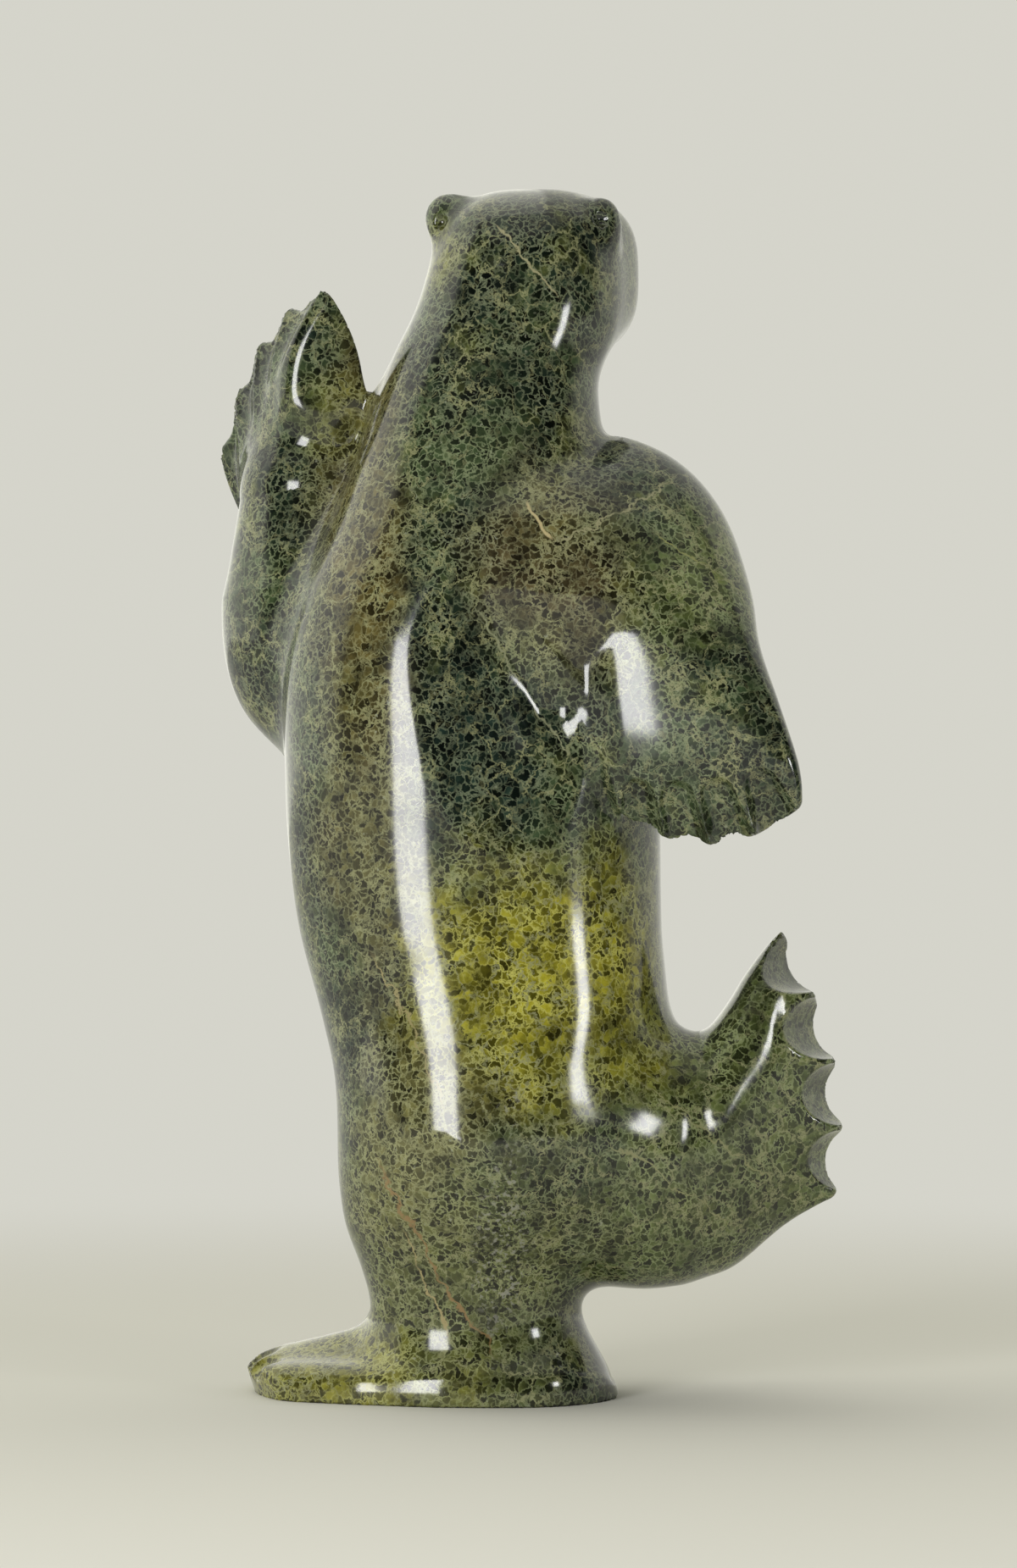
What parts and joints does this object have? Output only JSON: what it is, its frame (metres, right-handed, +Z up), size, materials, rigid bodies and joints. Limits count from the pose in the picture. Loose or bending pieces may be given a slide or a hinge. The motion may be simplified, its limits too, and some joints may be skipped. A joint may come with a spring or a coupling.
{
  "type": "soapstone bear carving",
  "caption": "Dancing polar bear carved from one piece of polished green serpentine, standing on its left foot with its left arm raised and right leg kicked up",
  "frame": {"origin": "the middle of the sole under the standing leg, on the ground", "axes": "+Z up; +Y the way the bear's chest faces; +X the bear's right, the side of the hanging arm and the raised leg"},
  "size_m": [0.2073, 0.1571, 0.4007],
  "materials": {
    "STONE": "polished"
  },
  "bodies": {
    "root": {"bear": "STONE"}
  },
  "joints": []
}
